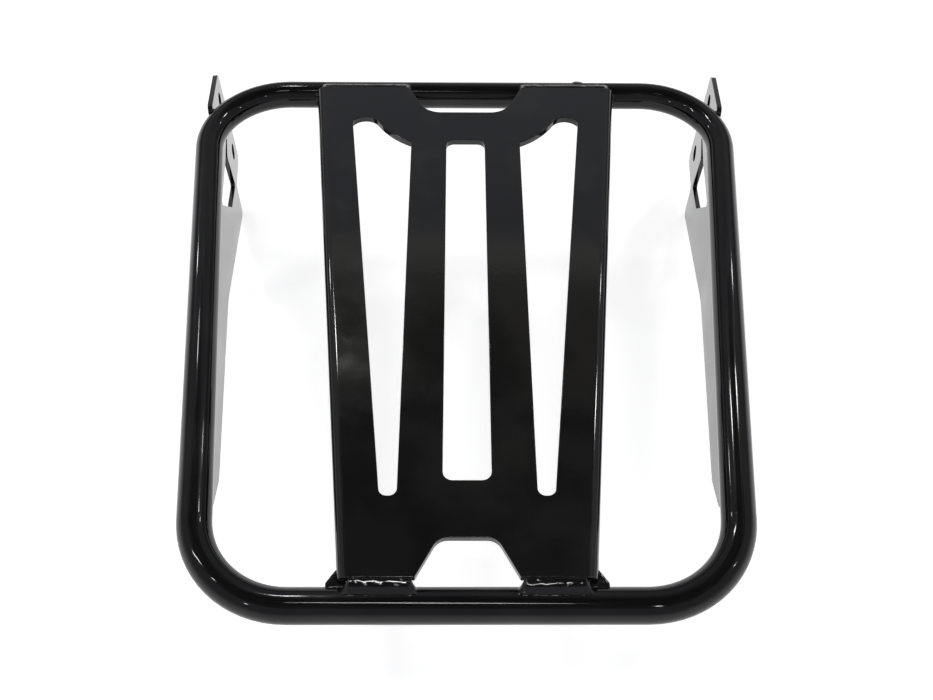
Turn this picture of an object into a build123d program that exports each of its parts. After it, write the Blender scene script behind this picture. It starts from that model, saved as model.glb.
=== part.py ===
"""Luggage rack for a motorcycle: a tapered tube hoop, a slotted deck plate and two side brackets, all welded.

Millimetres. +X is to the right, +Y is towards the brackets' arms, +Z is up. Every piece is modelled about the
centre of the hoop, with Z = 0 in the plane of the tube's centreline. At the end all of them are moved together,
so that the origin lies at the bottom, in the middle of the whole rack.
"""

from build123d import *
import os
from math import atan2, cos, degrees, radians, sqrt, tan

# tube hoop
tube_radius = 8.0
tube_wall = 2.0
hoop_length = 333.5            # between the centrelines of the two cross bars
hoop_half_width_far = 158.0    # to the rail's centreline, where it would meet the far bar's
hoop_half_width_near = 118.2
corner_radius_far = 44.0
corner_radius_near = 46.0

# weld ring that closes the hoop, on the far bar
butt_weld_x = 70.0
butt_weld_width = 7.0
butt_weld_height = 0.7

# deck plate
deck_thickness = 4.0
deck_sink = 1.0                # of the deck's underside, below the top of the bars
deck_gap_far = 5.7             # from the far bar's centreline to the deck's edge
deck_gap_near = 8.3
deck_half_width_far = 91.0     # at the deck's far edge
deck_half_width_near = 56.0    # at the deck's near edge
deck_bend_radius = 5.0         # outside of the folded side
deck_flange_depth = 13.0       # from the deck's top to the flange's lower edge

# cut-outs in the deck
bar_width = 20.6               # each of the four strips between the slots
centre_slot_half_width = 11.1
centre_slot_corner_radius = 4.5
centre_slot_to_far_edge = 47.35
centre_slot_to_near_edge = 46.75
side_slot_to_near_edge = 38.95
side_slot_end_radius = 3.7
side_slot_shoulder = 49.45     # from the far edge to where the slot's curved end leaves the inner strip
side_slot_shoulder_radius = 47.0
side_slot_arch_radius = 9.0
side_slot_arch = 27.45         # from the far edge to the crown of the arch beside the outer strip
side_slot_arch_inset = 7.0     # of the arch's centre, from the outer strip
far_notch_depth = 22.9
far_notch_half_width = 23.5
far_notch_angle = 25.6         # of each side, from the Y direction
far_notch_radius = 14.0
near_notch_depth = 18.45
near_notch_half_width = 12.7
near_notch_angle = 28.4
near_notch_radius = 7.0

# side brackets; a point is (distance along the rail, height above the hoop's centre plane), and the distance
# is counted from where the rail's line crosses the far bar, or the near bar for the three points so named
bracket_thickness = 3.0
bracket_inset = 0.8            # of the plate's middle, inboard of the rail's centreline
bolt_hole_diameter = 11.0      # clearance for an M10 bolt
upper_bolt_hole = (9.5, -13.5)
lower_bolt_hole = (13.4, -60.0)
arm_top_near = (-22.9, 8.4)
arm_top_far = (26.2, -4.3)
arm_bottom_far = (30.3, -80.5)
arm_top_radius = 4.0
arm_corner_radius = 6.0
near_end_radius = 8.0
seat_corner_radius = 1.0
neck_outside = (-4.1, -75.4)
tongue_tip = (-4.9, -100.0)
tongue_radius = 4.0
lower_edge_bend = (-120.9, -55.5)
lower_edge_bend_radius = 60.0
near_bar_lower_edge = (83.9, -41.6)
near_bar_end_lower = (60.9, -28.0)
near_bar_end_upper = (55.4, -5.0)
bracket_seat_height = -5.0     # of the top edge before it is coped to the tube

# window in each bracket
window_near_upper = (-68.9, -28.0)
window_top = (-22.9, -35.2)
window_slit_upper = (3.1, -35.2)
window_slit_lower = (3.1, -37.6)
window_throat = (-12.4, -40.8)
window_neck = (-8.5, -70.2)
window_lower = (-38.9, -60.5)
window_corner_radius = 2.0
window_slit_radius = 1.1

# weld beads
far_bead_toe = 2.0             # past the far bar's centreline
near_bead_toe = -0.5
bead_crown = 0.6               # how far a bead bulges
bead_overrun = 1.5             # past a leg's edge, into the notch
bead_outer_gap = 2.0           # between a bead's outer end and the deck's side
far_flange_bead = (1.5, 2.0)   # out from the folded side, and along it
near_flange_bead = (4.8, 6.2)
rail_bead_radius = 3.6
rail_bead_to_far_bar = 55.9    # along the rail
rail_bead_to_near_bar = 119.9
tack_radius = 3.4
tack_offset = 1.0              # past the place where the tube leaves the bracket's face
tack_low = -7.5
tack_height = 8.0

# worked out from the sizes above
half_length = hoop_length / 2
deck_far_edge = half_length - deck_gap_far
deck_near_edge = deck_gap_near - half_length
deck_bottom = tube_radius - deck_sink
deck_top = deck_bottom + deck_thickness
deck_slope = (deck_half_width_far - deck_half_width_near) / (deck_far_edge - deck_near_edge)
deck_side_angle = degrees(atan2(deck_slope, 1))
side_slot_inner_x = centre_slot_half_width + bar_width
rail_slope = (hoop_half_width_far - hoop_half_width_near) / hoop_length
rail_angle = degrees(atan2(rail_slope, 1))
rail_middle_x = (hoop_half_width_far + hoop_half_width_near) / 2
rail_half_length = half_length / cos(radians(rail_angle))
bracket_inner_face = bracket_inset + bracket_thickness / 2
far_corner_run = corner_radius_far * tan(radians(90 + rail_angle) / 2)
far_corner_start = rail_half_length - far_corner_run
corner_outside = corner_radius_far + tube_radius
corner_to_face = corner_radius_far - bracket_inner_face
tube_leaves_bracket = far_corner_start + sqrt(corner_outside**2 - corner_to_face**2)
reach = 2 * hoop_length        # longer than anything that it cuts


def hoop_centreline():
    """The tube's closed centreline: a tapered rectangle with round corners."""
    corners = [
        (-hoop_half_width_near, -half_length),
        (hoop_half_width_near, -half_length),
        (hoop_half_width_far, half_length),
        (-hoop_half_width_far, half_length),
    ]
    outline = make_face(Polyline(*corners, close=True))
    outline = fillet(outline.vertices().group_by(Axis.Y)[-1], corner_radius_far)
    outline = fillet(outline.vertices().group_by(Axis.Y)[0], corner_radius_near)
    return outline.wire()


def hoop_rod(radius):
    """A solid rod of this radius along the hoop's whole centreline."""
    path = hoop_centreline()
    section = Plane(origin=path @ 0, z_dir=path % 0) * Circle(radius)
    return sweep(section, path=path)


def make_hoop(hoop_outside):
    return hoop_outside - hoop_rod(tube_radius - tube_wall)


def make_butt_weld():
    """A low ring round the far bar, with a round crown."""
    half = butt_weld_width / 2
    edge = ThreePointArc(
        (-half, tube_radius),
        (0, tube_radius + butt_weld_height),
        (half, tube_radius),
    )
    profile = make_face([edge, Line(edge @ 1, edge @ 0)])
    ring = revolve(profile, axis=Axis.X)
    return Pos(butt_weld_x, half_length, 0) * ring - bar_bore(half_length)


def bar_bore(y):
    """The space that a cross bar's outside takes up, along its straight run."""
    return Pos(0, y, 0) * Rot(0, 90, 0) * Cylinder(tube_radius, reach)


def deck_half_width(y):
    return deck_half_width_near + deck_slope * (y - deck_near_edge)


def deck_trapezoid(inset, low, high):
    """The deck's plan shape, drawn in by inset on each long side, as a solid between two heights."""
    draw_in = inset / cos(radians(deck_side_angle))
    near = deck_half_width_near - draw_in
    far = deck_half_width_far - draw_in
    corners = [(-near, deck_near_edge), (near, deck_near_edge), (far, deck_far_edge), (-far, deck_far_edge)]
    return Pos(0, 0, low) * extrude(make_face(Polyline(*corners, close=True)), high - low)


def deck_fold():
    """The right-hand folded side: a quarter bend and the flange below it, the deck's whole length."""
    inner_radius = deck_bend_radius - deck_thickness
    bend_centre = (-deck_bend_radius, deck_top - deck_bend_radius)
    flange_foot = deck_top - deck_flange_depth
    outer = CenterArc(bend_centre, deck_bend_radius, 0, 90)
    inner = CenterArc(bend_centre, inner_radius, 0, 90)
    outline = [
        outer,
        Line(outer @ 1, inner @ 1),
        inner,
        Line(inner @ 0, (-deck_thickness, flange_foot)),
        Line((-deck_thickness, flange_foot), (0, flange_foot)),
        Line((0, flange_foot), outer @ 0),
    ]
    middle_y = (deck_far_edge + deck_near_edge) / 2
    across = Vector(1, 0, 0).rotate(Axis.Z, -deck_side_angle)
    towards_near = Vector(0, -1, 0).rotate(Axis.Z, -deck_side_angle)
    section = Plane(origin=(deck_half_width(middle_y), middle_y, 0), x_dir=across, z_dir=towards_near)
    bar = extrude(section * make_face(outline), reach / 2, both=True)
    return bar & Pos(0, middle_y, 0) * Box(reach, deck_far_edge - deck_near_edge, reach)


def side_slot_outer_x(y):
    return deck_half_width(y) - bar_width / cos(radians(deck_side_angle))


def shoulder_centre(arch):
    """Centre of the arc that leaves the inner strip at the slot's shoulder and runs smoothly into the arch."""
    shoulder = Vector(side_slot_inner_x, deck_far_edge - side_slot_shoulder)
    to_arch = arch - shoulder
    span = to_arch.length
    reach_arch = side_slot_shoulder_radius + side_slot_arch_radius
    foot = (span**2 + side_slot_shoulder_radius**2 - reach_arch**2) / (2 * span)
    rise = sqrt(side_slot_shoulder_radius**2 - foot**2)
    direction = to_arch.normalized()
    return shoulder + direction * foot + direction.rotate(Axis.Z, 90) * rise


def side_slot():
    """The right-hand wedge-shaped slot, with its curved far end, as a flat face."""
    arch_y = deck_far_edge - side_slot_arch - side_slot_arch_radius
    arch = Vector(side_slot_outer_x(arch_y) - side_slot_arch_inset, arch_y)
    shoulder = shoulder_centre(arch)
    share = side_slot_shoulder_radius / (side_slot_shoulder_radius + side_slot_arch_radius)
    join = shoulder + (arch - shoulder) * share
    near_end = deck_near_edge + side_slot_to_near_edge
    corners = [
        (side_slot_inner_x, near_end),
        (side_slot_outer_x(near_end), near_end),
        (side_slot_outer_x(join.Y), join.Y),
        (side_slot_inner_x, join.Y),
    ]
    wedge = make_face(Polyline(*corners, close=True))
    wedge = fillet(wedge.vertices().group_by(Axis.Y)[0], side_slot_end_radius)
    arch_disc = Pos(arch.X, arch.Y) * Circle(side_slot_arch_radius)
    inside = make_face(
        Polyline(
            (side_slot_inner_x, arch_y),
            (side_slot_outer_x(arch_y), arch_y),
            (side_slot_outer_x(half_length), half_length),
            (side_slot_inner_x, half_length),
            close=True,
        )
    )
    shoulder_disc = Pos(shoulder.X, shoulder.Y) * Circle(side_slot_shoulder_radius)
    return wedge + (arch_disc & inside) - shoulder_disc


def notch(outward, depth, half_width, angle, radius):
    """A flared notch in one end of the deck. outward is 1 at the far end and -1 at the near end."""
    edge_y = deck_far_edge if outward > 0 else deck_near_edge
    flat_y = edge_y - outward * depth
    mouth_y = outward * half_length
    mouth = half_width + abs(mouth_y - flat_y) * tan(radians(angle))
    corners = [(-half_width, flat_y), (half_width, flat_y), (mouth, mouth_y), (-mouth, mouth_y)]
    outline = make_face(Polyline(*corners, close=True))
    bottom = outline.vertices().sort_by_distance((0, flat_y))[:2]
    return fillet(bottom, radius)


def deck_cutouts():
    slot_far_end = deck_far_edge - centre_slot_to_far_edge
    slot_near_end = deck_near_edge + centre_slot_to_near_edge
    slot_length = slot_far_end - slot_near_end
    centre = RectangleRounded(2 * centre_slot_half_width, slot_length, centre_slot_corner_radius)
    right = side_slot()
    return [
        Pos(0, (slot_far_end + slot_near_end) / 2) * centre,
        right,
        mirror(right, about=Plane.YZ),
        notch(1, far_notch_depth, far_notch_half_width, far_notch_angle, far_notch_radius),
        notch(-1, near_notch_depth, near_notch_half_width, near_notch_angle, near_notch_radius),
    ]


def make_deck(hoop_outside):
    fold = deck_fold()
    deck = deck_trapezoid(deck_bend_radius, deck_bottom, deck_top) + fold + mirror(fold, about=Plane.YZ)
    for cutout in deck_cutouts():
        deck -= Pos(0, 0, deck_bottom) * extrude(cutout, deck_thickness)
    return deck - hoop_outside


def rail_frame(inboard):
    """A plane along the right-hand rail: X runs along the rail, Y up, Z outwards."""
    along = Vector(0, 1, 0).rotate(Axis.Z, -rail_angle)
    outward = Vector(1, 0, 0).rotate(Axis.Z, -rail_angle)
    return Plane(origin=Vector(rail_middle_x, 0, 0) - outward * inboard, x_dir=along, z_dir=outward)


def from_far_bar(point):
    """A point of the bracket whose distance along the rail is counted from the far bar."""
    return (point[0] + rail_half_length, point[1])


def from_near_bar(point):
    return (point[0] - rail_half_length, point[1])


def rounded_polygon(corners):
    """A face from (point, radius) pairs, one for each corner."""
    points = [point for point, radius in corners]
    radii = [radius for point, radius in corners]
    return make_face(FilletPolyline(*points, radius=radii, close=True))


def bracket_outline():
    seat_corner = (arm_top_near[0], bracket_seat_height)
    return rounded_polygon([
        (from_far_bar(arm_top_near), arm_top_radius),
        (from_far_bar(arm_top_far), arm_corner_radius),
        (from_far_bar(arm_bottom_far), arm_corner_radius),
        (from_far_bar(neck_outside), tongue_radius),
        (from_far_bar(tongue_tip), tongue_radius),
        (from_far_bar(lower_edge_bend), lower_edge_bend_radius),
        (from_near_bar(near_bar_lower_edge), near_end_radius),
        (from_near_bar(near_bar_end_lower), near_end_radius),
        (from_near_bar(near_bar_end_upper), near_end_radius),
        (from_far_bar(seat_corner), seat_corner_radius),
    ])


def bracket_window():
    return rounded_polygon([
        (from_far_bar(window_near_upper), window_corner_radius),
        (from_far_bar(window_top), window_corner_radius),
        (from_far_bar(window_slit_upper), window_slit_radius),
        (from_far_bar(window_slit_lower), window_slit_radius),
        (from_far_bar(window_throat), window_corner_radius),
        (from_far_bar(window_neck), window_corner_radius),
        (from_far_bar(window_lower), window_corner_radius),
    ])


def make_bracket(hoop_outside):
    """The right-hand bracket, coped to the underside of the rail and to the hoop's far corner."""
    outline = bracket_outline() - bracket_window()
    for centre in (upper_bolt_hole, lower_bolt_hole):
        outline -= Pos(*from_far_bar(centre)) * Circle(bolt_hole_diameter / 2)
    plate = extrude(rail_frame(bracket_inset) * outline, bracket_thickness / 2, both=True)
    return plate - hoop_outside


def leg_bead(outward, near_x, far_x, hoop_outside):
    """Weld from a right-hand leg's top edge over the bar. outward is 1 at the far end, -1 at the near."""
    edge_y = deck_far_edge if outward > 0 else deck_near_edge
    toe = far_bead_toe if outward > 0 else near_bead_toe
    toe_y = outward * (half_length + toe)
    toe_z = sqrt(tube_radius**2 - toe**2)
    crown = ((edge_y + toe_y) / 2, (deck_top + toe_z) / 2 + bead_crown)
    slope = ThreePointArc((edge_y, deck_top), crown, (toe_y, toe_z))
    root = (outward * half_length, deck_bottom / 2)
    outline = [
        slope,
        Line((toe_y, toe_z), root),
        Line(root, (edge_y, deck_bottom)),
        Line((edge_y, deck_bottom), (edge_y, deck_top)),
    ]
    bead = extrude(Plane.YZ * make_face(outline), far_x - near_x)
    return Pos(near_x, 0, 0) * bead - hoop_outside


def flange_bead(outward, width, length, hoop_outside):
    """Weld in the corner between a folded side's outer face and the bar."""
    bar_y = outward * (half_length - tube_radius)
    start_y = bar_y - outward * length
    middle_y = outward * half_length
    side_x = deck_half_width(bar_y) - deck_thickness
    corners = [
        (side_x, middle_y),
        (deck_half_width(bar_y) + width, middle_y),
        (deck_half_width(bar_y) + width, bar_y),
        (deck_half_width(start_y), start_y),
        (side_x, start_y),
    ]
    foot = deck_top - deck_flange_depth
    height = deck_top - deck_bend_radius - foot
    wedge = Pos(0, 0, foot) * extrude(make_face(Polyline(*corners, close=True)), height)
    return wedge - deck_trapezoid(0, foot - deck_flange_depth, deck_top) - hoop_outside - past_bar(outward)


def past_bar(outward):
    """All the space beyond a cross bar's centreline."""
    return Pos(0, outward * (half_length + reach / 2), 0) * Box(reach, reach, reach)


def rail_bead(hoop_outside):
    """Long weld on the inner side, between the bracket and the rail's underside."""
    root_height = -sqrt(tube_radius**2 - bracket_inner_face**2)
    far_end = rail_half_length - rail_bead_to_far_bar
    near_end = rail_bead_to_near_bar - rail_half_length
    length = far_end - near_end
    middle = (far_end + near_end) / 2
    frame = rail_frame(bracket_inner_face)
    root = frame.from_local_coords((middle, root_height, 0))
    section = Plane(origin=root, x_dir=frame.z_dir, z_dir=frame.x_dir)
    bead = extrude(section * Circle(rail_bead_radius), length / 2, both=True)
    return bead - outboard_side() - hoop_outside


def outboard_side():
    """All the space from the bracket's inner face outwards."""
    return extrude(rail_frame(bracket_inner_face) * Rectangle(reach, reach), reach)


def arm_tack(hoop_outside):
    """Tack weld between the arm's inner face and the outside of the hoop's far corner."""
    frame = rail_frame(bracket_inner_face)
    foot = frame.from_local_coords((tube_leaves_bracket + tack_offset, tack_low, 0))
    post = Pos(foot.X, foot.Y, foot.Z + tack_height / 2) * Cylinder(tack_radius, tack_height)
    return post - outboard_side() - hoop_outside


def leg_span(outward, depth, half_width, angle):
    """From where to where, across the rack, a right-hand leg's bead runs."""
    edge_y = deck_far_edge if outward > 0 else deck_near_edge
    mouth = half_width + depth * tan(radians(angle))
    return mouth - bead_overrun, deck_half_width(edge_y) - bead_outer_gap


def build_pieces():
    """Every piece by name, about the hoop's centre."""
    hoop_outside = hoop_rod(tube_radius)
    deck = make_deck(hoop_outside)
    butt_weld = make_butt_weld() - deck
    far_leg = leg_span(1, far_notch_depth, far_notch_half_width, far_notch_angle)
    near_leg = leg_span(-1, near_notch_depth, near_notch_half_width, near_notch_angle)
    far_leg_bead = leg_bead(1, *far_leg, hoop_outside)
    near_leg_bead = leg_bead(-1, *near_leg, hoop_outside)
    right_pieces = {
        "side_plate": make_bracket(hoop_outside),
        "leg_weld_far": far_leg_bead,
        "leg_weld_near": near_leg_bead,
        "flange_weld_far": flange_bead(1, *far_flange_bead, hoop_outside) - far_leg_bead,
        "flange_weld_near": flange_bead(-1, *near_flange_bead, hoop_outside) - near_leg_bead,
        "rail_weld": rail_bead(hoop_outside),
        "arm_tack": arm_tack(hoop_outside),
    }
    pieces = {"hoop_tube": make_hoop(hoop_outside), "hoop_butt_weld": butt_weld, "deck_plate": deck}
    for name, piece in right_pieces.items():
        pieces[name + "_right"] = piece
        pieces[name + "_left"] = mirror(piece, about=Plane.YZ)
    pieces["leg_weld_far_right"] -= butt_weld
    return pieces


def placing(pieces):
    """The move that puts the origin at the bottom, in the middle of the rack."""
    box = Compound(children=[Compound(list(piece.solids())) for piece in pieces.values()]).bounding_box()
    return Pos(-box.center().X, -box.center().Y, -box.min.Z)


def main():
    os.makedirs("parts", exist_ok=True)
    pieces = build_pieces()
    move = placing(pieces)
    for name, piece in pieces.items():
        export_step(Compound(list((move * piece).solids())), "parts/" + name + ".step")


if __name__ == "__main__":
    main()
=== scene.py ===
"""Studio scene of a black motorcycle luggage rack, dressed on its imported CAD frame.

Written as an add-on that is run as a script: one operator for each group of pieces, one for the stage.
Everything is in metres, in the frame of the CAD model.
"""

from math import cos, pi, radians, sin

import bmesh
import bpy
from bpy.props import FloatProperty, FloatVectorProperty, IntProperty, PointerProperty
from mathutils import Matrix, Vector, noise


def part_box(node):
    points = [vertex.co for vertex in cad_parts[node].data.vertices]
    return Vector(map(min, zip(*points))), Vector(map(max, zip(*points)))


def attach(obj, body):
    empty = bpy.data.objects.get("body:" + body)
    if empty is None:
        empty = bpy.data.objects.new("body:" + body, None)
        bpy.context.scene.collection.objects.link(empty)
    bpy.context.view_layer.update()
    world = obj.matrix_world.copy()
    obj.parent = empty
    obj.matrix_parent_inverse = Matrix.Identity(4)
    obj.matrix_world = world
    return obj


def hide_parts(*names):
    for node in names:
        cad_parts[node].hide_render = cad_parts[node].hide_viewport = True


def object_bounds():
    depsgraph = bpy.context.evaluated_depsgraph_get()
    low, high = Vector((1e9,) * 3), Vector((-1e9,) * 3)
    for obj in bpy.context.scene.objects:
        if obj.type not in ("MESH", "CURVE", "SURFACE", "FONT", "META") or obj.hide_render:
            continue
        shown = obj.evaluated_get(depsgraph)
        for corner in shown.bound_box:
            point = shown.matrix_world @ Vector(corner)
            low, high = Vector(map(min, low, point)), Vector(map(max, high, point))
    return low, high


bl_info = {
    "name": "Luggage Rack Studio",
    "version": (1, 0, 0),
    "blender": (4, 5, 0),
    "location": "View3D > Sidebar > Rack",
    "description": "Dresses a welded luggage rack in gloss paint and sets up its studio",
    "category": "Object",
}

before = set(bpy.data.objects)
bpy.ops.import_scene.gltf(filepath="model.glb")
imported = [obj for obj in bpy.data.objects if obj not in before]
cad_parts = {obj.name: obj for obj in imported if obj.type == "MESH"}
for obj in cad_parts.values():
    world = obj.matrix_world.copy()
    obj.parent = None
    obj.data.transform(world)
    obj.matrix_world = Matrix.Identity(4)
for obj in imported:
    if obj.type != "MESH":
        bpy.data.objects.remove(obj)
cad_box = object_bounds()

MM = 0.001
JOIN_WITHIN = 0.002 * MM  # corners of a CAD mesh that lie closer than this are one corner
FLAT_WITHIN = radians(0.3)  # faces that turn by less than this are one flat face
SHARP_FROM = radians(35)  # edges that turn by more than this are rounded
FEATHER_SINK = 0.1 * MM  # how deep in the tube's wall the rim of a thinned bead ends

# The camera's turn in degrees, and its place seen from the middle of the hoop.
CAMERA_PITCH, CAMERA_YAW, CAMERA_ROLL = 53.68, 0.89, -0.82
CAMERA_OFFSET = Vector((-4.6, -332.0, 409.7)) * MM
SENSOR_WIDTH = 36.0

# Small lamps around the room: turn from +Y towards +X and rise above the floor, in degrees.
SPOTS = ((-140, 35), (-100, 52), (-48, 30), (42, 38), (95, 40), (150, 56))
SPOT_DISTANCE = 2.0
SPOT_SIZE = (0.06, 0.06)

# Colours of the room from the horizon (0) to straight overhead (1).
ROOM_SHADES = [
    (0.0, (0.95, 0.95, 0.95)),  # pale horizon
    (0.12, (0.70, 0.70, 0.71)),
    (0.30, (0.42, 0.42, 0.44)),  # cool walls
    (0.66, (0.40, 0.41, 0.46)),
    (0.730, (0.36, 0.37, 0.42)),
    (0.735, (0.56, 0.55, 0.52)),  # bright joint between wall and ceiling
    (0.751, (0.50, 0.49, 0.46)),
    (0.757, (0.30, 0.29, 0.27)),  # warm ceiling
    (0.80, (0.27, 0.26, 0.235)),
    (0.831, (0.24, 0.232, 0.215)),
    (0.835, (0.10, 0.10, 0.115)),  # a dark rail across the ceiling
    (0.842, (0.10, 0.10, 0.115)),
    (0.846, (0.21, 0.20, 0.185)),
    (0.90, (0.155, 0.15, 0.145)),
    (1.0, (0.09, 0.09, 0.09)),
]


# ---------------------------------------------------------------- sizes and colours that a user would change


class PaintSettings(bpy.types.PropertyGroup):
    """Colours and finish of the paint."""

    black: FloatVectorProperty(
        name="Black", description="Body colour of the paint", subtype="COLOR", size=3,
        default=(0.0030, 0.0030, 0.0036),
    )
    haze: FloatVectorProperty(
        name="Haze", description="Colour where dust and grease dull it", subtype="COLOR", size=3,
        default=(0.013, 0.012, 0.0105),
    )
    gloss: FloatProperty(
        name="Roughness", description="Roughness of clean paint", default=0.045, min=0.0, max=1.0
    )
    bloom: FloatProperty(
        name="Bloom", description="Weight of the wide, dull shine over the gloss",
        default=0.05, min=0.0, max=1.0,
    )
    peel: FloatProperty(
        name="Orange peel", description="Depth of the paint's fine ripple", unit="LENGTH",
        precision=6, default=0.000008,
    )
    nib: FloatProperty(
        name="Nib height", description="Height of a speck of dust under the paint", unit="LENGTH",
        precision=6, default=0.00006,
    )


class MetalSettings(bpy.types.PropertyGroup):
    """Sizes of rounded edges and weld beads."""

    edge: FloatProperty(
        name="Edge radius", description="Rounding that paint leaves on a cut edge", unit="LENGTH",
        default=0.0006,
    )
    edge_steps: IntProperty(
        name="Edge steps", description="Faces across each rounded edge", default=3, min=1, max=6
    )
    bead_cell: FloatProperty(
        name="Bead cell", description="Size of the cells a bead is cast in", unit="LENGTH",
        precision=5, default=0.00042,
    )
    leg_swell: FloatProperty(
        name="Leg swell", description="How far a leg's bead flows out over its neighbours", unit="LENGTH",
        precision=5, default=0.00015,
    )
    rail_swell: FloatProperty(
        name="Rail swell", description="The same for the long bead below a rail", unit="LENGTH",
        precision=5, default=0.0004,
    )
    corner_swell: FloatProperty(
        name="Corner swell", description="The same for the small beads in corners", unit="LENGTH",
        precision=5, default=0.0003,
    )
    ring_swell: FloatProperty(
        name="Ring swell", description="The same for the ring that closes the tube", unit="LENGTH",
        precision=5, default=0.0002,
    )
    bead_end: FloatProperty(
        name="Bead end", description="Length over which a leg's bead thins out at its rim", unit="LENGTH",
        default=0.0040,
    )
    bead_flow: IntProperty(
        name="Bead flow", description="Rounds of smoothing that round a bead off", default=9, min=0, max=60
    )
    bead_lumps: FloatProperty(
        name="Bead lumps", description="Height of the unevenness of a bead", unit="LENGTH",
        precision=5, default=0.0005,
    )


class StudioSettings(bpy.types.PropertyGroup):
    """Floor, light and camera."""

    floor: FloatVectorProperty(
        name="Floor", description="Colour of the floor", subtype="COLOR", size=3, default=(0.86, 0.86, 0.86)
    )
    glow: FloatProperty(
        name="Floor glow", description="Light that the floor gives off by itself", default=0.72, min=0.0
    )
    lamps: FloatProperty(
        name="Lamp radiance", description="Brightness of the lamps' faces", default=50.0, min=0.0
    )
    lens: FloatProperty(name="Lens", description="Focal length on a 36 mm sensor", unit="CAMERA", default=38.59)


# ---------------------------------------------------------------- shader maths


class Socket:
    """A shader value that adds its own Math nodes when it is used in an expression."""

    def __init__(self, sheet, source):
        self.sheet = sheet
        self.source = source

    def math(self, operation, other):
        return self.sheet.node("ShaderNodeMath", {"operation": operation}, {0: self, 1: other})["Value"]

    def __add__(self, other):
        return self.math("ADD", other)

    __radd__ = __add__

    def __mul__(self, other):
        return self.math("MULTIPLY", other)

    __rmul__ = __mul__

    def __sub__(self, other):
        return self.math("SUBTRACT", other)

    def __rsub__(self, other):
        return (self * -1.0) + other

    def span(self, low, high):
        """0 at low, 1 at high, smooth between and level outside."""
        settings = {"interpolation_type": "SMOOTHSTEP"}
        inputs = {"Value": self, "From Min": low, "From Max": high}
        return self.sheet.node("ShaderNodeMapRange", settings, inputs)["Result"]


class Sheet:
    """The node sheet of one material or world."""

    def __init__(self, owner):
        owner.use_nodes = True
        self.tree = owner.node_tree
        self.tree.nodes.clear()

    def node(self, kind, settings=None, inputs=None):
        """Adds a node, sets its settings and then its sockets, and returns its outputs as Sockets."""
        made = self.tree.nodes.new(kind)
        for name, value in (settings or {}).items():
            if name == "stops":
                set_stops(made.color_ramp, value)
            else:
                setattr(made, name, value)
        for key, value in (inputs or {}).items():
            if isinstance(value, Socket):
                self.tree.links.new(value.source, made.inputs[key])
            else:
                made.inputs[key].default_value = value
        return {out.name: Socket(self, out) for out in made.outputs if out.enabled}

    def noise(self, where, scale, detail=2.0, roughness=0.5):
        inputs = {"Vector": where, "Scale": scale, "Detail": detail, "Roughness": roughness}
        return self.node("ShaderNodeTexNoise", {}, inputs)["Fac"]

    def mix_colour(self, factor, first, second):
        """The first colour at factor 0 and the second at 1. Sockets 6 and 7 are the Mix node's two colours."""
        settings = {"data_type": "RGBA", "clamp_factor": True}
        return self.node("ShaderNodeMix", settings, {"Factor": factor, 6: first, 7: second})["Result"]

    def bump(self, height, distance, base=None):
        inputs = {"Height": height, "Distance": distance, "Strength": 1.0}
        if base is not None:
            inputs["Normal"] = base
        return self.node("ShaderNodeBump", {}, inputs)["Normal"]

    def surface(self, inputs):
        """Ends a material's sheet in one Principled surface."""
        shader = self.node("ShaderNodeBsdfPrincipled", {}, inputs)["BSDF"]
        self.node("ShaderNodeOutputMaterial", {}, {"Surface": shader})


def set_stops(ramp, stops):
    """Puts (place, colour) stops on a colour ramp."""
    ramp.interpolation = "EASE"
    while len(ramp.elements) < len(stops):
        ramp.elements.new(1.0)
    for element, (place, colour) in zip(ramp.elements, stops):
        element.position = place
        element.color = rgba(colour)


def rgba(colour):
    return (*colour, 1.0)


# ---------------------------------------------------------------- paint


def gloss_paint(name, wave_scale, wave_depth, peel_share, nib_share, dust_share, index=1.5):
    """Deep gloss black paint over metal, with orange peel, nibs of dust, dull patches and a soft wave.

    The wave of the metal has its own scale and depth. The shares are of the settings' full orange peel and nibs
    and of the full dust, and index is the paint's index of refraction.
    """
    paint = bpy.context.scene.rack_paint
    material = bpy.data.materials.new(name)
    sheet = Sheet(material)
    where = sheet.node("ShaderNodeTexCoord")["Object"]
    cloud = sheet.noise(where, 16.0, 5.0, 0.62)
    fine = sheet.noise(where, 420.0, 2.0)
    wave = sheet.noise(where, wave_scale, 1.0)
    cells = sheet.node("ShaderNodeTexVoronoi", {"feature": "F1"}, {"Vector": where, "Scale": 130.0})
    picked = sheet.noise(where, 37.0, 0.0).span(0.60, 0.72)
    nib = (1.0 - cells["Distance"].span(0.02, 0.075)) * picked
    wear = sheet.node("ShaderNodeNewGeometry")["Pointiness"].span(0.52, 0.60)
    dust = cloud.span(0.46, 0.80) * dust_share
    colour = sheet.mix_colour(dust * 0.5 + wear * 0.25, rgba(paint.black), rgba(paint.haze))
    rough = dust * 0.12 + nib * 0.2 + fine * 0.02 + paint.gloss
    normal = sheet.bump(wave, wave_depth)
    normal = sheet.bump(fine, paint.peel * peel_share, normal)
    normal = sheet.bump(nib, paint.nib * nib_share, normal)
    bloom = dust * 0.5 + paint.bloom
    inputs = {"Base Color": colour, "Roughness": rough, "IOR": index, "Normal": normal}
    inputs |= {"Coat Weight": bloom, "Coat Roughness": 0.22, "Coat IOR": 1.4}
    sheet.surface(inputs)
    return material


def paint_on(piece, material):
    piece.data.materials.clear()
    piece.data.materials.append(material)


# ---------------------------------------------------------------- shapes


def bmesh_of(node):
    """A copy of a CAD node's mesh with its corners joined."""
    bm = bmesh.new()
    bm.from_mesh(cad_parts[node].data)
    bmesh.ops.remove_doubles(bm, verts=bm.verts, dist=JOIN_WITHIN)
    return bm


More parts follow.
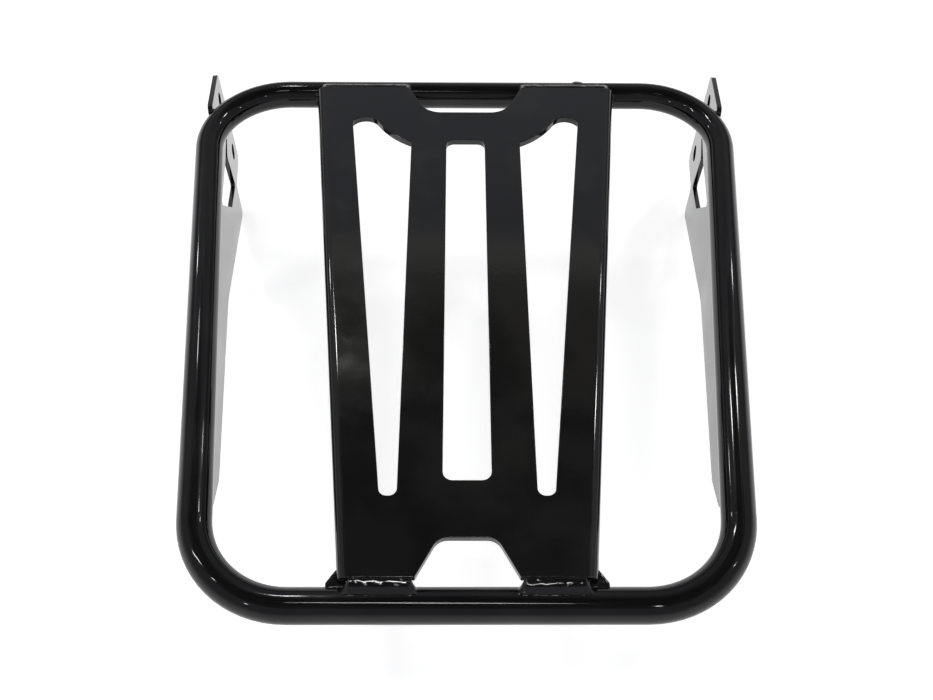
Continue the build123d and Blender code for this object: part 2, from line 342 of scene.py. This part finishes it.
def object_from(bm, name):
    """Puts a bmesh into the scene as an object."""
    mesh = bpy.data.meshes.new(name)
    bm.to_mesh(mesh)
    bm.free()
    made = bpy.data.objects.new(name, mesh)
    bpy.context.scene.collection.objects.link(made)
    return made


def piece_from(bm, name, node):
    """Makes the finished piece, which stands for its CAD node."""
    piece = object_from(bm, name)
    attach(piece, "root")
    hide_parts(node)
    return piece


def rounded_plate(node, name):
    """The plate with its cut edges rounded, as paint and deburring leave them."""
    metal = bpy.context.scene.rack_metal
    bm = bmesh_of(node)
    bmesh.ops.dissolve_limit(bm, angle_limit=FLAT_WITHIN, verts=bm.verts, edges=bm.edges, delimit={"NORMAL"})
    sharp = [edge for edge in bm.edges if edge.is_manifold and edge.calc_face_angle() > SHARP_FROM]
    bmesh.ops.bevel(
        bm, geom=sharp, offset=metal.edge, offset_type="OFFSET", segments=metal.edge_steps,
        profile=0.5, affect="EDGES", material=-1, clamp_overlap=True,
    )
    for face in bm.faces:
        face.smooth = True
    piece = piece_from(bm, name, node)
    even = piece.modifiers.new("Even normals", "WEIGHTED_NORMAL")
    even.mode = "FACE_AREA"
    even.keep_sharp = False
    even.weight = 100
    return piece


def rough_bead(node, swell):
    """The CAD bead, swollen so that it reaches into the metal and out over its neighbours, for casting."""
    bm = bmesh_of(node)
    bm.normal_update()
    moves = [vert.normal * swell for vert in bm.verts]
    for vert, move in zip(bm.verts, moves):
        vert.co += move
    return object_from(bm, f"{node}_rough")


def cast_bead(node, swell, seed):
    """A weld bead as it set: one smooth, lumpy skin inside the CAD model's box. Each seed gives other lumps."""
    metal = bpy.context.scene.rack_metal
    rough = rough_bead(node, swell)
    cells = rough.modifiers.new("Cells", "REMESH")
    cells.mode = "VOXEL"
    cells.voxel_size = metal.bead_cell
    flow = rough.modifiers.new("Flow", "SMOOTH")
    flow.factor = 0.5
    flow.iterations = metal.bead_flow
    bm = bmesh.new()
    bm.from_object(rough, bpy.context.evaluated_depsgraph_get())
    bpy.data.objects.remove(rough)
    if node.startswith("leg"):
        feather(bm, 1.0 if "far" in node else -1.0, metal.bead_end)
    shift = Vector((seed * 0.731, seed * 0.317, seed * 0.119))
    bm.normal_update()
    moves = [vert.normal * bead_lump(vert.co + shift, metal.bead_lumps) for vert in bm.verts]
    low, high = cad_box
    for vert, move in zip(bm.verts, moves):
        vert.co += move
        for axis in range(3):
            vert.co[axis] = min(max(vert.co[axis], low[axis]), high[axis])
    for face in bm.faces:
        face.smooth = True
    return piece_from(bm, f"painted_{node}", node)


def feather(bm, outward, length):
    """Thins a leg's bead out to nothing over its bar, towards the toe and both ends.

    outward is 1 at the far bar and -1 at the near one.
    """
    low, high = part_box("hoop_tube")
    radius = (high.z - low.z) / 2
    axis_y = high.y - radius if outward > 0 else low.y + radius
    axis_z = (low.z + high.z) / 2
    left = min(vert.co.x for vert in bm.verts)
    right = max(vert.co.x for vert in bm.verts)
    toe = max(vert.co.y * outward for vert in bm.verts)
    for vert in bm.verts:
        arm = Vector((0.0, vert.co.y - axis_y, vert.co.z - axis_z))
        height = max(0.0, arm.length - radius)
        from_end = min(vert.co.x - left, right - vert.co.x) / length
        from_toe = (toe - vert.co.y * outward) / length
        share = eased(from_end) * eased(from_toe)
        vert.co -= arm.normalized() * (height + FEATHER_SINK) * (1.0 - share)


def eased(share):
    """0 below 0, 1 above 1 and smooth between."""
    held = min(max(share, 0.0), 1.0)
    return held * held * (3.0 - 2.0 * held)


def bead_lump(place, height):
    """Height of the skin's lumps at a place: long swells, ripples and a few small drops."""
    swells = noise.noise(place * 120.0)
    ripples = noise.noise(place * 300.0)
    drops = max(0.0, noise.noise(place * 520.0) - 0.30)
    return height * (0.35 * swells + 0.14 * ripples + 0.9 * drops - 0.05)


# ---------------------------------------------------------------- operators


class RACK_OT_tube(bpy.types.Operator):
    """Paints the bent tube of the hoop"""

    bl_idname = "rack.tube"
    bl_label = "Tube hoop"

    def execute(self, context):
        tube_paint = gloss_paint("tube_gloss_black", 45.0, 0.00003, 0.6, 0.8, 0.5, 1.38)
        paint_on(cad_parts["hoop_tube"], tube_paint)
        return {"FINISHED"}


class RACK_OT_deck(bpy.types.Operator):
    """Rounds and paints the slotted deck plate"""

    bl_idname = "rack.deck"
    bl_label = "Deck plate"

    def execute(self, context):
        deck = rounded_plate("deck_plate", "painted_deck")
        paint_on(deck, gloss_paint("deck_gloss_black", 16.0, 0.00012, 1.0, 1.0, 1.0))
        return {"FINISHED"}


class RACK_OT_brackets(bpy.types.Operator):
    """Rounds and paints the two side brackets"""

    bl_idname = "rack.brackets"
    bl_label = "Side brackets"

    def execute(self, context):
        bracket_paint = gloss_paint("bracket_gloss_black", 12.0, 0.00010, 1.2, 1.0, 0.8)
        for side in ("left", "right"):
            paint_on(rounded_plate(f"side_plate_{side}", f"painted_bracket_{side}"), bracket_paint)
        return {"FINISHED"}


class RACK_OT_welds(bpy.types.Operator):
    """Casts the painted weld beads"""

    bl_idname = "rack.welds"
    bl_label = "Weld beads"

    def execute(self, context):
        weld_paint = gloss_paint("weld_gloss_black", 240.0, 0.00004, 1.0, 1.0, 0.4)
        metal = context.scene.rack_metal
        swells = {"leg": metal.leg_swell, "rail": metal.rail_swell, "hoop": metal.ring_swell}
        beads = [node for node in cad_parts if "weld" in node or "tack" in node]
        for seed, node in enumerate(sorted(beads)):
            kind = node.split("_")[0]
            swell = swells.get(kind, metal.corner_swell)
            paint_on(cast_bead(node, swell, seed), weld_paint)
        return {"FINISHED"}


def camera_axes(pitch, yaw, roll):
    """Right, up and back of a camera that looks down by pitch, is turned by yaw and is rolled, in degrees."""
    p, w, r = radians(pitch), radians(yaw), radians(roll)
    forward = Vector((sin(w) * cos(p), cos(w) * cos(p), -sin(p)))
    level = Vector((cos(w), -sin(w), 0.0))
    down = forward.cross(level)
    right = level * cos(r) + down * sin(r)
    up = level * sin(r) - down * cos(r)
    return right, up, -forward


class RACK_OT_stage(bpy.types.Operator):
    """Builds the floor, the lights, the surroundings and the camera"""

    bl_idname = "rack.stage"
    bl_label = "Studio"

    def execute(self, context):
        studio = context.scene.rack_studio
        low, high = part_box("hoop_tube")
        centre = (low + high) / 2
        self.floor(studio)
        self.surroundings(context)
        self.lights(studio, centre)
        self.camera(context, studio, centre)
        context.scene.view_settings.view_transform = "Standard"
        return {"FINISHED"}

    def floor(self, studio):
        bm = bmesh.new()
        bmesh.ops.create_circle(bm, cap_ends=True, segments=96, radius=30.0)
        floor = object_from(bm, "studio_floor")
        material = bpy.data.materials.new("pale_floor")
        inputs = {"Base Color": rgba(studio.floor), "Roughness": 0.6}
        inputs |= {"Emission Color": rgba((1, 1, 1)), "Emission Strength": studio.glow}
        Sheet(material).surface(inputs)
        paint_on(floor, material)

    def surroundings(self, context):
        """A pale horizon, cool walls, and a warm, dark and cluttered ceiling with an uneven edge.

        The lower walls behind the rack are dimmed.
        """
        world = bpy.data.worlds.new("studio_walls")
        context.scene.world = world
        sheet = Sheet(world)
        direction = sheet.node("ShaderNodeTexCoord")["Generated"]
        parts = sheet.node("ShaderNodeSeparateXYZ", {}, {"Vector": direction})
        drift = sheet.noise(direction, 2.0, 1.0) - 0.5
        height = parts["Z"] + drift * 0.03
        shade = sheet.node("ShaderNodeValToRGB", {"stops": ROOM_SHADES}, {"Fac": height})["Color"]
        clutter = sheet.noise(direction, 11.0, 4.0, 0.65).span(0.44, 0.50)
        overhead = height.span(0.76, 0.79)
        behind = parts["Y"].span(0.1, 0.6) * height.span(0.06, 0.20) * (1.0 - height.span(0.30, 0.50))
        strength = (clutter * 0.45 - 0.45) * overhead + (1.0 - behind * 0.55)
        light = sheet.node("ShaderNodeBackground", {}, {"Color": shade, "Strength": strength})["Background"]
        sheet.node("ShaderNodeOutputWorld", {}, {"Surface": light})

    def lights(self, studio, centre):
        """Narrow lamps high up, which draw thin lines on the round metal, and small ones around the room."""
        low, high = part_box("hoop_tube")
        near_bar = Vector((centre.x, low.y, centre.z))
        self.lamp("right_lamp", studio, centre, Vector((0.823, 0.861, 1.383)), (0.08, 0.16))
        self.lamp("left_lamp", studio, centre, Vector((-0.396, 0.977, 1.358)), (0.11, 0.10))
        self.lamp("left_dots", studio, centre, Vector((-0.62, 1.30, 1.62)), (0.05, 0.05))
        self.lamp("front_tube", studio, near_bar, Vector((-0.06, -0.158, 1.793)), (0.66, 0.04), 24.0)
        self.lamp("side_tube", studio, centre, Vector((-1.25, 0.10, 1.35)), (0.04, 0.30))
        for number, (turn, rise) in enumerate(SPOTS):
            flat = cos(radians(rise))
            way = Vector((sin(radians(turn)) * flat, cos(radians(turn)) * flat, sin(radians(rise))))
            self.lamp(f"spot_{number}", studio, centre, way * SPOT_DISTANCE, SPOT_SIZE)

    def lamp(self, name, studio, target, offset, size, spread=180.0):
        """A flat lamp that faces its target, with the same radiance whatever its size. spread is in degrees."""
        light = bpy.data.lights.new(name, "AREA")
        light.shape = "RECTANGLE"
        light.size, light.size_y = size
        light.spread = radians(spread)
        light.energy = studio.lamps * pi * size[0] * size[1] * (spread / 180.0) ** 2
        lamp = bpy.data.objects.new(name, light)
        bpy.context.scene.collection.objects.link(lamp)
        lamp.location = target + offset
        lamp.rotation_euler = (-offset).to_track_quat("-Z", "Y").to_euler()

    def camera(self, context, studio, centre):
        data = bpy.data.cameras.new("studio_camera")
        data.sensor_fit = "HORIZONTAL"
        data.sensor_width = SENSOR_WIDTH
        data.lens = studio.lens
        data.clip_start = 0.01
        camera = bpy.data.objects.new("studio_camera", data)
        context.scene.collection.objects.link(camera)
        turn = Matrix(camera_axes(CAMERA_PITCH, CAMERA_YAW, CAMERA_ROLL)).transposed().to_4x4()
        camera.matrix_world = Matrix.Translation(centre + CAMERA_OFFSET) @ turn
        context.scene.camera = camera


class RACK_PT_panel(bpy.types.Panel):
    """Lists the rack's operators and settings."""

    bl_idname = "RACK_PT_panel"
    bl_label = "Luggage rack"
    bl_space_type = "VIEW_3D"
    bl_region_type = "UI"
    bl_category = "Rack"

    def draw(self, context):
        for group in ("rack_paint", "rack_metal", "rack_studio"):
            settings = getattr(context.scene, group)
            box = self.layout.box()
            for name in settings.__annotations__:
                box.prop(settings, name)
        for operator in OPERATORS:
            self.layout.operator(operator.bl_idname)


GROUPS = {"rack_paint": PaintSettings, "rack_metal": MetalSettings, "rack_studio": StudioSettings}
OPERATORS = (RACK_OT_tube, RACK_OT_deck, RACK_OT_brackets, RACK_OT_welds, RACK_OT_stage)


def register():
    for kind in (*GROUPS.values(), *OPERATORS, RACK_PT_panel):
        bpy.utils.register_class(kind)
    for name, kind in GROUPS.items():
        setattr(bpy.types.Scene, name, PointerProperty(type=kind))


def unregister():
    for name in GROUPS:
        delattr(bpy.types.Scene, name)
    for kind in reversed((*GROUPS.values(), *OPERATORS, RACK_PT_panel)):
        bpy.utils.unregister_class(kind)


def main():
    register()
    bpy.ops.rack.tube()
    bpy.ops.rack.deck()
    bpy.ops.rack.brackets()
    bpy.ops.rack.welds()
    bpy.ops.rack.stage()


if __name__ == "__main__":
    main()
